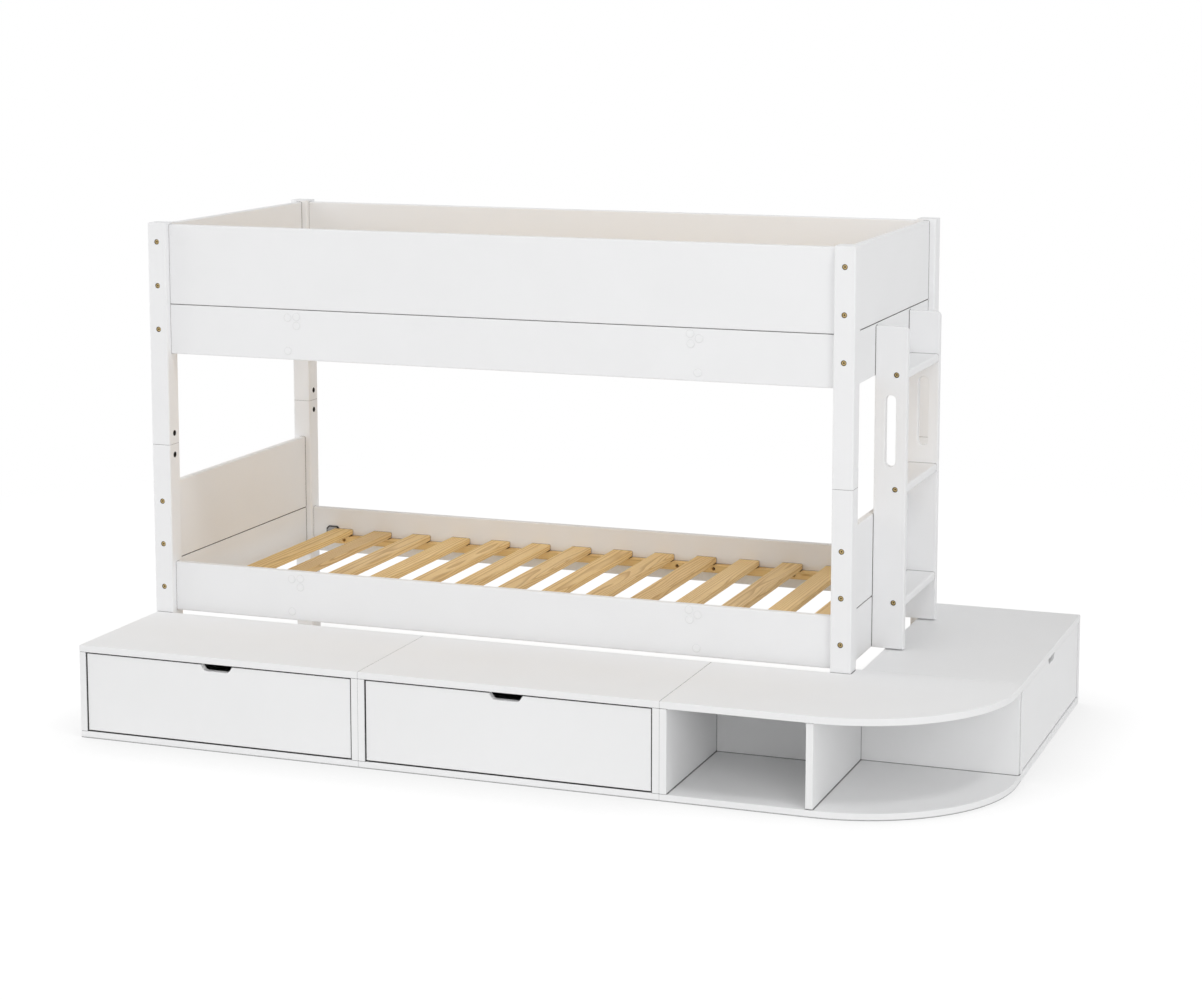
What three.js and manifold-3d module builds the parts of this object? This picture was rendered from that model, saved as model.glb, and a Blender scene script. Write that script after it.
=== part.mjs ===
// Bunk bed on an L-shaped drawer platform: a white timber frame with two slatted bunks,
// a ladder bolted to its right end, two drawer units in front, an open corner unit with a
// quarter-round front, and a third drawer unit along the right end.
// Millimetres, +Z up, the front faces -Y, the origin is on the floor under the middle.

import * as THREE from "three";
import { mergeVertices } from "three/addons/utils/BufferGeometryUtils.js";
import Module from "manifold-3d";

const wasm = await Module();
wasm.setup();

// Bed frame: outer sizes over the posts, for an 800 x 1900 mattress
const BED_LENGTH = 1990;
const BED_WIDTH = 910;
const POST_WIDTH = 55;
const POST_ARRIS_RADIUS = 4;
const POST_END_CHAMFER = 1;
const LOWER_POST_HEIGHT = 720;
const UPPER_POST_HEIGHT = 612;

// Boards of the frame: rails carry the bunks, guards and panels close the sides and ends
const RAIL_THICKNESS = 20;
const RAIL_HEIGHT = 136;
const GUARD_HEIGHT = 218;
const BOARD_ARRIS_RADIUS = 3;
const SIDE_SETBACK = 20;
const END_SETBACK = 18;
const LOWER_RAIL_BOTTOM = 254;
const UPPER_RAIL_RISE = 252;
const SEAM_GAP = 1;

// Bolts through the posts into the end boards, and the dowel in each post joint
const BOLT_COUNT = 3;
const BOLT_PITCH = 120;
const BOLT_HEAD_DIAMETER = 15;
const BOLT_HEAD_DEPTH = 9;
const BOLT_SHANK_DIAMETER = 7;
const DOWEL_DIAMETER = 12;
const DOWEL_LENGTH = 80;
const DOWEL_CLEARANCE = 0.3;
const LOCK_SCREW_DIAMETER = 14;
const LOCK_SCREW_DEPTH = 12;
const LOCK_SCREW_OFFSET = 30;
const CUT_OVERRUN = 1;

// Slatted bases: pine slats screwed down on a batten along each side rail
const BATTEN_THICKNESS = 22;
const BATTEN_HEIGHT = 24;
const BATTEN_END_GAP = 2;
const BATTEN_ARRIS_RADIUS = 2;
const BATTEN_ABOVE_RAIL_BOTTOM = 32;
const SLAT_COUNT = 14;
const SLAT_LEFT_MARGIN = 157;
const SLAT_RIGHT_MARGIN = 148.2;
const SLAT_WIDTH = 62;
const SLAT_THICKNESS = 18;
const SLAT_ARRIS_RADIUS = 4;
const SLAT_END_GAP = 0.5;
const SCREW_PULL_IN = 0.25;

// Ladder on the outer face of the right end
const LADDER_FRONT = 276;
const LADDER_WIDTH = 380;
const STILE_WIDTH = 85;
const STILE_THICKNESS = 22;
const STILE_TOP_DROP = 6;
const STILE_CORNER_RADIUS = 14;
const STILE_ARRIS_RADIUS = 2;
const STEP_COUNT = 3;
const STEP_FIRST_HEIGHT = 376;
const STEP_PITCH = 300;
const STEP_THICKNESS = 22;
const STEP_SETBACK = 2;
const STEP_NOSE_RADIUS = 5;
const SLOT_WIDTH = 28;
const SLOT_LENGTH = 188;
const SLOT_CENTRE_DROP = 273;
const STEP_BOLT_OFFSET = 14;

// Platform: drawer units and the corner unit, all of one height and one board
const PLATFORM_HEIGHT = 250;
const PANEL_THICKNESS = 18;
const PANEL_CHAMFER = 1;
const SIDE_RUN_GAP = 15;
const PLATFORM_GAP = 0.5;
const FRONT_UNIT_WIDTH = 808;
const SIDE_UNIT_WIDTH = 794;
const UNIT_DEPTH = 412;
const UNIT_SEAM_GAP = 0.5;
const UNIT_BACK_THICKNESS = 3;
const CORNER_LENGTH = 794;
const CORNER_ARM = 54;
const CORNER_RADIUS = 412;
const CORNER_POST_GAP = 1;
const BAY_SETBACK = 4;
const BAY_BACK_THICKNESS = 12;

// Drawers: an inset front with a finger notch, and a box hung on a batten at each side
const FRONT_GAP = 3;
const FRONT_INSET = 3;
const FRONT_THICKNESS = 18;
const NOTCH_WIDTH = 92;
const NOTCH_DEPTH = 17;
const NOTCH_SLOPE_WIDTH = 11;
const NOTCH_CORNER_RADIUS = 7;
const BOX_SIDE_THICKNESS = 15;
const BOX_HEIGHT = 160;
const BOX_ABOVE_BOTTOM = 22;
const BOX_SIDE_CLEARANCE = 4;
const BOX_REAR_CLEARANCE = 15;
const BOX_FLOOR_THICKNESS = 6;
const BOX_FLOOR_RAISE = 9;
const RUNNER_HEIGHT = 12;
const RUNNER_REACH = 11;
const RUNNER_ABOVE_BOX = 72;
const RUNNER_GAP = 0.3;
const RUNNER_SIDE_GAP = 1;
const RUNNER_STOP_LENGTH = 20;
const RUNNER_STOP_GAP = 0.5;
const RUNNER_REAR_GAP = 1;

// Facets of the round work
const CORNER_STEPS = 28;
const NOTCH_STEPS = 4;
const SLOT_STEPS = 8;
const STILE_ARRIS_STEPS = 2;
const BORE_SIDES = 16;
const SHANK_SIDES = 8;

const white = (name) => new THREE.MeshStandardMaterial({
  name, color: 0xf4f4f2, roughness: 0.45, metalness: 0,
});
const whiteTimber = white("white_lacquered_pine");
const whitePanel = white("white_panel");
const pine = new THREE.MeshStandardMaterial({
  name: "bare_pine", color: 0xd9b477, roughness: 0.6, metalness: 0,
});
const beech = new THREE.MeshStandardMaterial({
  name: "beech_dowel", color: 0xc79a66, roughness: 0.55, metalness: 0,
});

const bed = new THREE.Group();

function addPiece(group, name, geometry, material) {
  const mesh = new THREE.Mesh(geometry, material);
  mesh.name = name;
  group.add(mesh);
  return mesh;
}

// Solids for the boolean work, and back to a geometry

function toSolid(geometry) {
  const bare = geometry.clone();
  bare.deleteAttribute("normal");
  bare.deleteAttribute("uv");
  const merged = mergeVertices(bare, 1e-4);
  return new wasm.Manifold(new wasm.Mesh({
    numProp: 3,
    vertProperties: new Float32Array(merged.attributes.position.array),
    triVerts: new Uint32Array(merged.index.array),
  }));
}

function toGeometry(solid) {
  const mesh = solid.getMesh();
  const geometry = new THREE.BufferGeometry();
  geometry.setAttribute("position", new THREE.BufferAttribute(mesh.vertProperties, 3));
  geometry.setIndex(new THREE.BufferAttribute(mesh.triVerts, 1));
  geometry.computeVertexNormals();
  return geometry;
}

function cut(geometry, tools) {
  return toGeometry(tools.reduce((solid, tool) => solid.subtract(toSolid(tool)), toSolid(geometry)));
}

function join(geometries) {
  const [first, ...rest] = geometries.map(toSolid);
  return toGeometry(rest.reduce((solid, next) => solid.add(next), first));
}

// Shapes of the boards and posts

function roundedRectangle(width, height, radius, steps) {
  const shape = new THREE.Shape();
  const corners = [
    [width - radius, radius, -Math.PI / 2],
    [width - radius, height - radius, 0],
    [radius, height - radius, Math.PI / 2],
    [radius, radius, Math.PI],
  ];
  corners.forEach(([x, y, start], corner) => {
    for (let step = 0; step <= steps; step += 1) {
      const angle = start + (Math.PI / 2) * (step / steps);
      const px = x + radius * Math.cos(angle);
      const py = y + radius * Math.sin(angle);
      if (corner === 0 && step === 0) {
        shape.moveTo(px, py);
      } else {
        shape.lineTo(px, py);
      }
    }
  });
  shape.closePath();
  return shape;
}

// A planed board: the long arrises are rounded and the ends are square.
// The axis is that of its length, x0 to z1 are its lowest and highest corner.
function plank(axis, [x0, y0, z0], [x1, y1, z1], radius = BOARD_ARRIS_RADIUS) {
  const along = axis === "x" ? x1 - x0 : y1 - y0;
  const thickness = axis === "x" ? y1 - y0 : x1 - x0;
  const profile = roundedRectangle(thickness, z1 - z0, radius, 2);
  const geometry = new THREE.ExtrudeGeometry(profile, { depth: along, bevelEnabled: false, steps: 1 });
  geometry.rotateX(Math.PI / 2);
  if (axis === "x") {
    geometry.rotateZ(Math.PI / 2);
    geometry.translate(x0, y0, z0);
  } else {
    geometry.translate(x0, y1, z0);
  }
  return geometry;
}

// A cut panel: a flat outline in X and Y, with every arris broken by a small chamfer
function panelFromOutline(shape, z0, z1) {
  const geometry = new THREE.ExtrudeGeometry(shape, {
    depth: z1 - z0 - 2 * PANEL_CHAMFER,
    bevelEnabled: true,
    bevelThickness: PANEL_CHAMFER,
    bevelSize: PANEL_CHAMFER,
    bevelOffset: -PANEL_CHAMFER,
    bevelSegments: 1,
    steps: 1,
  });
  geometry.translate(0, 0, z0 + PANEL_CHAMFER);
  return geometry;
}

function panel([x0, y0, z0], [x1, y1, z1]) {
  const shape = new THREE.Shape();
  shape.moveTo(x0, y0);
  shape.lineTo(x1, y0);
  shape.lineTo(x1, y1);
  shape.lineTo(x0, y1);
  shape.closePath();
  return panelFromOutline(shape, z0, z1);
}

function block([x0, y0, z0], [x1, y1, z1]) {
  const geometry = new THREE.BoxGeometry(x1 - x0, y1 - y0, z1 - z0);
  geometry.translate((x0 + x1) / 2, (y0 + y1) / 2, (z0 + z1) / 2);
  return geometry;
}

// A round bar along one axis, from a point for a length, used for bores and dowels
function bar(axis, [x, y, z], length, diameter, sides) {
  const geometry = new THREE.CylinderGeometry(diameter / 2, diameter / 2, length, sides);
  geometry.translate(0, length / 2, 0);
  if (axis === "x") {
    geometry.rotateZ(-Math.PI / 2);
  } else if (axis === "z") {
    geometry.rotateX(Math.PI / 2);
  }
  geometry.translate(x, y, z);
  return geometry;
}

// Heights and faces that several pieces share
const upperRailBottom = LOWER_POST_HEIGHT + UPPER_RAIL_RISE;
const railCentre = (railBottom) => railBottom + RAIL_HEIGHT / 2;
const boltHeights = (railBottom) => Array.from(
  { length: BOLT_COUNT },
  (_, count) => railCentre(railBottom) + count * BOLT_PITCH,
);
const postTop = LOWER_POST_HEIGHT + UPPER_POST_HEIGHT;
const sideInner = SIDE_SETBACK + RAIL_THICKNESS;
const endBoardCentre = END_SETBACK + RAIL_THICKNESS / 2;

// Posts: a lower and an upper half on one dowel, bored for the bolts of the end boards

const rightPostLeft = BED_LENGTH - POST_WIDTH;
const rearPostFront = BED_WIDTH - POST_WIDTH;
const postCorners = [
  { name: "front_left", x: 0, y: 0, atLeft: true, atFront: true },
  { name: "front_right", x: rightPostLeft, y: 0, atLeft: false, atFront: true },
  { name: "rear_left", x: 0, y: rearPostFront, atLeft: true, atFront: false },
  { name: "rear_right", x: rightPostLeft, y: rearPostFront, atLeft: false, atFront: false },
];

function postBlank(corner, z0, z1) {
  const section = roundedRectangle(POST_WIDTH, POST_WIDTH, POST_ARRIS_RADIUS, 3);
  const geometry = new THREE.ExtrudeGeometry(section, {
    depth: z1 - z0 - 2 * POST_END_CHAMFER,
    bevelEnabled: true,
    bevelThickness: POST_END_CHAMFER,
    bevelSize: POST_END_CHAMFER,
    bevelOffset: -POST_END_CHAMFER,
    bevelSegments: 1,
    steps: 1,
  });
  geometry.translate(corner.x, corner.y, z0 + POST_END_CHAMFER);
  return geometry;
}

// The bolts go along Y into the ends of the end boards, so they lie on those boards' centre
function boltBores(corner, railBottom) {
  const x = corner.atLeft ? endBoardCentre : BED_LENGTH - endBoardCentre;
  const headStart = corner.atFront ? corner.y - CUT_OVERRUN : corner.y + POST_WIDTH - BOLT_HEAD_DEPTH;
  const shankStart = corner.y - CUT_OVERRUN;
  const shankLength = POST_WIDTH + 2 * CUT_OVERRUN;
  return boltHeights(railBottom).flatMap((z) => [
    bar("y", [x, headStart, z], BOLT_HEAD_DEPTH + CUT_OVERRUN, BOLT_HEAD_DIAMETER, BORE_SIDES),
    bar("y", [x, shankStart, z], shankLength, BOLT_SHANK_DIAMETER, SHANK_SIDES),
  ]);
}

const dowelBoreDepth = DOWEL_LENGTH / 2 + DOWEL_CLEARANCE;

function dowelBore(corner, bottom) {
  const place = [corner.x + POST_WIDTH / 2, corner.y + POST_WIDTH / 2, bottom];
  return bar("z", place, dowelBoreDepth + CUT_OVERRUN, DOWEL_DIAMETER + 2 * DOWEL_CLEARANCE, BORE_SIDES);
}

// The screws that lock the joint are driven from the inside of the bed
function lockScrewBore(corner, z) {
  const start = corner.atLeft ? corner.x + POST_WIDTH - LOCK_SCREW_DEPTH : corner.x - CUT_OVERRUN;
  const place = [start, corner.y + POST_WIDTH / 2, z];
  return bar("x", place, LOCK_SCREW_DEPTH + CUT_OVERRUN, LOCK_SCREW_DIAMETER, SHANK_SIDES);
}

for (const corner of postCorners) {
  const lower = cut(postBlank(corner, 0, LOWER_POST_HEIGHT), [
    ...boltBores(corner, LOWER_RAIL_BOTTOM),
    dowelBore(corner, LOWER_POST_HEIGHT - dowelBoreDepth),
    lockScrewBore(corner, LOWER_POST_HEIGHT - LOCK_SCREW_OFFSET),
  ]);
  const upper = cut(postBlank(corner, LOWER_POST_HEIGHT, postTop), [
    ...boltBores(corner, upperRailBottom),
    dowelBore(corner, LOWER_POST_HEIGHT - CUT_OVERRUN),
    lockScrewBore(corner, LOWER_POST_HEIGHT + LOCK_SCREW_OFFSET),
  ]);
  const dowelBottom = LOWER_POST_HEIGHT - DOWEL_LENGTH / 2;
  const dowelPlace = [corner.x + POST_WIDTH / 2, corner.y + POST_WIDTH / 2, dowelBottom];
  const dowel = bar("z", dowelPlace, DOWEL_LENGTH, DOWEL_DIAMETER, BORE_SIDES);
  addPiece(bed, `lower_post_${corner.name}`, lower, whiteTimber);
  addPiece(bed, `upper_post_${corner.name}`, upper, whiteTimber);
  addPiece(bed, `post_dowel_${corner.name}`, dowel, beech);
}

// Side rails and guards run between the posts along the length

const sideBoards = [
  { name: "front", y: SIDE_SETBACK },
  { name: "rear", y: BED_WIDTH - SIDE_SETBACK - RAIL_THICKNESS },
];

for (const side of sideBoards) {
  const sideBoard = (bottom, height) => plank(
    "x",
    [POST_WIDTH, side.y, bottom],
    [BED_LENGTH - POST_WIDTH, side.y + RAIL_THICKNESS, bottom + height],
  );
  const guardBottom = upperRailBottom + RAIL_HEIGHT + SEAM_GAP;
  addPiece(bed, `lower_side_rail_${side.name}`, sideBoard(LOWER_RAIL_BOTTOM, RAIL_HEIGHT), whiteTimber);
  addPiece(bed, `upper_side_rail_${side.name}`, sideBoard(upperRailBottom, RAIL_HEIGHT), whiteTimber);
  addPiece(bed, `side_guard_${side.name}`, sideBoard(guardBottom, GUARD_HEIGHT), whiteTimber);
}

// End rails with a panel above each, between the posts across the width

const endBoards = [
  { name: "left", x: END_SETBACK },
  { name: "right", x: BED_LENGTH - END_SETBACK - RAIL_THICKNESS },
];

for (const end of endBoards) {
  const endBoard = (bottom, height) => plank(
    "y",
    [end.x, POST_WIDTH, bottom],
    [end.x + RAIL_THICKNESS, BED_WIDTH - POST_WIDTH, bottom + height],
  );
  const above = RAIL_HEIGHT + SEAM_GAP;
  const lowerPanel = endBoard(LOWER_RAIL_BOTTOM + above, GUARD_HEIGHT);
  const upperGuard = endBoard(upperRailBottom + above, GUARD_HEIGHT);
  addPiece(bed, `lower_end_rail_${end.name}`, endBoard(LOWER_RAIL_BOTTOM, RAIL_HEIGHT), whiteTimber);
  addPiece(bed, `lower_end_panel_${end.name}`, lowerPanel, whiteTimber);
  addPiece(bed, `upper_end_rail_${end.name}`, endBoard(upperRailBottom, RAIL_HEIGHT), whiteTimber);
  addPiece(bed, `upper_end_guard_${end.name}`, upperGuard, whiteTimber);
}

// Slatted bases: two battens and the slats screwed across them

const slatPitch = (BED_LENGTH - SLAT_LEFT_MARGIN - SLAT_RIGHT_MARGIN) / (SLAT_COUNT - 1);

function slatBase(railBottom) {
  const battenBottom = railBottom + BATTEN_ABOVE_RAIL_BOTTOM;
  const slatBottom = battenBottom + BATTEN_HEIGHT;
  const battens = [sideInner, BED_WIDTH - sideInner - BATTEN_THICKNESS].map((y) => plank(
    "x",
    [POST_WIDTH + BATTEN_END_GAP, y, battenBottom],
    [BED_LENGTH - POST_WIDTH - BATTEN_END_GAP, y + BATTEN_THICKNESS, slatBottom + SCREW_PULL_IN],
    BATTEN_ARRIS_RADIUS,
  ));
  const slats = [];
  for (let count = 0; count < SLAT_COUNT; count += 1) {
    const centre = SLAT_LEFT_MARGIN + count * slatPitch;
    slats.push(plank(
      "y",
      [centre - SLAT_WIDTH / 2, sideInner + SLAT_END_GAP, slatBottom],
      [centre + SLAT_WIDTH / 2, BED_WIDTH - sideInner - SLAT_END_GAP, slatBottom + SLAT_THICKNESS],
      SLAT_ARRIS_RADIUS,
    ));
  }
  return join([...battens, ...slats]);
}

addPiece(bed, "lower_slat_base", slatBase(LOWER_RAIL_BOTTOM), pine);
addPiece(bed, "upper_slat_base", slatBase(upperRailBottom), pine);

// Ladder: two stiles with a hand slot, flat against the end rails, and three steps

const stileInner = BED_LENGTH - END_SETBACK;
const stileMiddle = stileInner + STILE_WIDTH / 2;
const stileBottom = LOWER_RAIL_BOTTOM;
const stileTop = upperRailBottom + RAIL_HEIGHT - STILE_TOP_DROP;
const slotCentre = stileTop - SLOT_CENTRE_DROP;

function slotOutline(centreX, centreZ) {
  const radius = SLOT_WIDTH / 2;
  const reach = SLOT_LENGTH / 2 - radius;
  const outline = new THREE.Shape();
  outline.absarc(centreX, centreZ + reach, radius, 0, Math.PI, false);
  outline.absarc(centreX, centreZ - reach, radius, Math.PI, 2 * Math.PI, false);
  outline.closePath();
  return outline;
}

// Drawn in X and Z, extruded along +Y from the given face, with every arris broken on both faces
function uprightPlate(outline, y0, thickness, arris, arrisSteps, curveSegments) {
  const geometry = new THREE.ExtrudeGeometry(outline, {
    depth: thickness - 2 * arris,
    bevelEnabled: true,
    bevelThickness: arris,
    bevelSize: arris,
    bevelOffset: -arris,
    bevelSegments: arrisSteps,
    steps: 1,
    curveSegments,
  });
  geometry.rotateX(Math.PI / 2);
  geometry.translate(0, y0 + thickness - arris, 0);
  return geometry;
}

function stileOutline() {
  const outer = stileInner + STILE_WIDTH;
  const roundX = outer - STILE_CORNER_RADIUS;
  const roundZ = stileTop - STILE_CORNER_RADIUS;
  const outline = new THREE.Shape();
  outline.moveTo(stileInner, stileBottom);
  outline.lineTo(outer, stileBottom);
  outline.lineTo(outer, roundZ);
  outline.absarc(roundX, roundZ, STILE_CORNER_RADIUS, 0, Math.PI / 2, false);
  outline.lineTo(stileInner, stileTop);
  outline.closePath();
  outline.holes.push(slotOutline(stileMiddle, slotCentre));
  return outline;
}

const stepHeights = Array.from(
  { length: STEP_COUNT },
  (_, count) => STEP_FIRST_HEIGHT + count * STEP_PITCH,
);

const stiles = [
  { name: "front", y: LADDER_FRONT, headStart: LADDER_FRONT - CUT_OVERRUN },
  {
    name: "rear",
    y: LADDER_FRONT + LADDER_WIDTH - STILE_THICKNESS,
    headStart: LADDER_FRONT + LADDER_WIDTH - BOLT_HEAD_DEPTH,
  },
];

for (const stile of stiles) {
  const bores = stepHeights.map((z) => {
    const place = [stileMiddle + STEP_BOLT_OFFSET, stile.headStart, z];
    return bar("y", place, BOLT_HEAD_DEPTH + CUT_OVERRUN, BOLT_HEAD_DIAMETER, BORE_SIDES);
  });
  const plate = uprightPlate(
    stileOutline(),
    stile.y,
    STILE_THICKNESS,
    STILE_ARRIS_RADIUS,
    STILE_ARRIS_STEPS,
    SLOT_STEPS,
  );
  addPiece(bed, `ladder_stile_${stile.name}`, cut(plate, bores), whiteTimber);
}

stepHeights.forEach((z, count) => {
  const step = plank(
    "y",
    [stileInner + STEP_SETBACK, LADDER_FRONT + STILE_THICKNESS, z - STEP_THICKNESS / 2],
    [
      stileInner + STILE_WIDTH - STEP_SETBACK,
      LADDER_FRONT + LADDER_WIDTH - STILE_THICKNESS,
      z + STEP_THICKNESS / 2,
    ],
    STEP_NOSE_RADIUS,
  );
  addPiece(bed, `ladder_step_${count + 1}`, step, whiteTimber);
});

// Drawer unit, drawn with its front left corner at the origin and its front facing -Y

const insideTop = PLATFORM_HEIGHT - PANEL_THICKNESS;
const boxBottom = PANEL_THICKNESS + BOX_ABOVE_BOTTOM;
const boxTop = boxBottom + BOX_HEIGHT;
const runnerBottom = boxBottom + RUNNER_ABOVE_BOX;
const runnerTop = runnerBottom + RUNNER_HEIGHT;
const frontRear = FRONT_INSET + FRONT_THICKNESS;
const runnerFront = frontRear + RUNNER_STOP_LENGTH;
const unitInsideRear = UNIT_DEPTH - UNIT_BACK_THICKNESS;

// The runner is glued into the side panel, which it enters by the overrun
function runner(x0, x1) {
  return block([x0, runnerFront, runnerBottom], [x1, unitInsideRear - RUNNER_REAR_GAP, runnerTop]);
}

function carcass(group, name, width) {
  const inner = width - PANEL_THICKNESS;
  const sidePanel = (x) => panel([x, 0, PANEL_THICKNESS], [x + PANEL_THICKNESS, UNIT_DEPTH, insideTop]);
  const left = join([sidePanel(0), runner(PANEL_THICKNESS - CUT_OVERRUN, PANEL_THICKNESS + RUNNER_REACH)]);
  const right = join([sidePanel(inner), runner(inner - RUNNER_REACH, inner + CUT_OVERRUN)]);
  const bottom = panel([0, 0, 0], [width, UNIT_DEPTH, PANEL_THICKNESS]);
  const top = panel([0, 0, insideTop], [width, UNIT_DEPTH, PLATFORM_HEIGHT]);
  const back = block([PANEL_THICKNESS, unitInsideRear, PANEL_THICKNESS], [inner, UNIT_DEPTH, insideTop]);
  addPiece(group, `${name}_bottom`, bottom, whitePanel);
  addPiece(group, `${name}_top`, top, whitePanel);
  addPiece(group, `${name}_side_left`, left, whitePanel);
  addPiece(group, `${name}_side_right`, right, whitePanel);
  addPiece(group, `${name}_back`, back, whitePanel);
}

// The front panel has a notch in its top edge, with sloped sides and rounded lower corners
function drawerFront(width) {
  const x0 = PANEL_THICKNESS + FRONT_GAP;
  const x1 = width - PANEL_THICKNESS - FRONT_GAP;
  const z0 = PANEL_THICKNESS + FRONT_GAP;
  const z1 = insideTop - FRONT_GAP;
  const middle = width / 2;
  const mouthHalf = NOTCH_WIDTH / 2;
  const floorHalf = mouthHalf - NOTCH_SLOPE_WIDTH;
  const notchFloor = z1 - NOTCH_DEPTH;
  const turn = NOTCH_CORNER_RADIUS / NOTCH_DEPTH;
  const flankX = floorHalf + NOTCH_SLOPE_WIDTH * turn;
  const flankZ = notchFloor + NOTCH_CORNER_RADIUS;
  const floorX = floorHalf - NOTCH_CORNER_RADIUS;
  const outline = new THREE.Shape();
  outline.moveTo(x0, z0);
  outline.lineTo(x1, z0);
  outline.lineTo(x1, z1);
  outline.lineTo(middle + mouthHalf, z1);
  outline.lineTo(middle + flankX, flankZ);
  outline.quadraticCurveTo(middle + floorHalf, notchFloor, middle + floorX, notchFloor);
  outline.lineTo(middle - floorX, notchFloor);
  outline.quadraticCurveTo(middle - floorHalf, notchFloor, middle - flankX, flankZ);
  outline.lineTo(middle - mouthHalf, z1);
  outline.lineTo(x0, z1);
  outline.closePath();
  return uprightPlate(outline, FRONT_INSET, FRONT_THICKNESS, PANEL_CHAMFER, 1, NOTCH_STEPS);
}

// The box: two grooved sides, a back and a raised floor, open in front where the panel closes it
function drawerBox(width) {
  const x0 = PANEL_THICKNESS + BOX_SIDE_CLEARANCE;
  const x1 = width - x0;
  const y1 = unitInsideRear - BOX_REAR_CLEARANCE;
  const floorBottom = boxBottom + BOX_FLOOR_RAISE;
  const grooveDepth = RUNNER_REACH - BOX_SIDE_CLEARANCE + RUNNER_SIDE_GAP;
  const grooveFront = runnerFront - RUNNER_STOP_GAP;
  const grooveBottom = runnerBottom - RUNNER_SIDE_GAP;
  const grooveTop = runnerTop + RUNNER_GAP;
  const body = block([x0, frontRear, boxBottom], [x1, y1, boxTop]);
  const insideAbove = (bottom, top) => block(
    [x0 + BOX_SIDE_THICKNESS, frontRear - CUT_OVERRUN, bottom],
    [x1 - BOX_SIDE_THICKNESS, y1 - BOX_SIDE_THICKNESS, top],
  );
  const groove = (from, to) => block([from, grooveFront, grooveBottom], [to, y1 + CUT_OVERRUN, grooveTop]);
  return cut(body, [
    insideAbove(floorBottom + BOX_FLOOR_THICKNESS, boxTop + CUT_OVERRUN),
    insideAbove(boxBottom - CUT_OVERRUN, floorBottom),
    groove(x0 - CUT_OVERRUN, x0 + grooveDepth),
    groove(x1 - grooveDepth, x1 + CUT_OVERRUN),
  ]);
}

function drawerUnit(number, width, x, y, turn) {
  const group = new THREE.Group();
  group.position.set(x, y, 0);
  group.rotation.z = turn;
  carcass(group, `drawer_unit_${number}`, width);
  addPiece(group, `drawer_${number}_front`, drawerFront(width), whitePanel);
  addPiece(group, `drawer_${number}_box`, drawerBox(width), whitePanel);
  bed.add(group);
}

const platformFront = -PLATFORM_GAP - UNIT_DEPTH;
const platformRight = BED_LENGTH + SIDE_RUN_GAP + UNIT_DEPTH;
const cornerLeft = platformRight - CORNER_LENGTH;
const secondUnitLeft = cornerLeft - UNIT_SEAM_GAP - FRONT_UNIT_WIDTH;
const firstUnitLeft = secondUnitLeft - UNIT_SEAM_GAP - FRONT_UNIT_WIDTH;

drawerUnit(1, FRONT_UNIT_WIDTH, firstUnitLeft, platformFront, 0);
drawerUnit(2, FRONT_UNIT_WIDTH, secondUnitLeft, platformFront, 0);
drawerUnit(3, SIDE_UNIT_WIDTH, platformRight, CORNER_ARM + UNIT_SEAM_GAP, Math.PI / 2);

// Corner unit: two boards with a quarter-round front, notched round the bed post,
// with a side, a divider and a back to each of its two open bays

const armLeft = BED_LENGTH + CORNER_POST_GAP;
const mainRear = -PLATFORM_GAP;
const leftBayBackFront = mainRear - BAY_BACK_THICKNESS;
const rightBayBackFront = CORNER_ARM - BAY_BACK_THICKNESS;

function cornerOutline() {
  const centreX = platformRight - CORNER_RADIUS;
  const centreY = platformFront + CORNER_RADIUS;
  const outline = new THREE.Shape();
  outline.moveTo(cornerLeft, platformFront);
  for (let step = 0; step <= CORNER_STEPS; step += 1) {
    const angle = -Math.PI / 2 + (Math.PI / 2) * (step / CORNER_STEPS);
    outline.lineTo(centreX + CORNER_RADIUS * Math.cos(angle), centreY + CORNER_RADIUS * Math.sin(angle));
  }
  outline.lineTo(platformRight, CORNER_ARM);
  outline.lineTo(armLeft, CORNER_ARM);
  outline.lineTo(armLeft, mainRear);
  outline.lineTo(cornerLeft, mainRear);
  outline.closePath();
  return outline;
}

const cornerPanels = {
  corner_bottom: panelFromOutline(cornerOutline(), 0, PANEL_THICKNESS),
  corner_top: panelFromOutline(cornerOutline(), insideTop, PLATFORM_HEIGHT),
  corner_side: panel(
    [cornerLeft, platformFront, PANEL_THICKNESS],
    [cornerLeft + PANEL_THICKNESS, mainRear, insideTop],
  ),
  corner_divider: panel(
    [armLeft, platformFront + BAY_SETBACK, PANEL_THICKNESS],
    [armLeft + PANEL_THICKNESS, rightBayBackFront, insideTop],
  ),
  corner_left_bay_back: panel(
    [cornerLeft + PANEL_THICKNESS, leftBayBackFront, PANEL_THICKNESS],
    [armLeft, mainRear, insideTop],
  ),
  corner_right_bay_back: panel(
    [armLeft, rightBayBackFront, PANEL_THICKNESS],
    [platformRight - BAY_SETBACK, CORNER_ARM, insideTop],
  ),
};

for (const [name, geometry] of Object.entries(cornerPanels)) {
  addPiece(bed, name, geometry, whitePanel);
}

// The origin goes on the floor under the middle of the whole footprint
const footprintLeft = Math.min(0, firstUnitLeft);
bed.position.set(-(footprintLeft + platformRight) / 2, -(platformFront + BED_WIDTH) / 2, 0);

export default bed;
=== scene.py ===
import math

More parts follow.
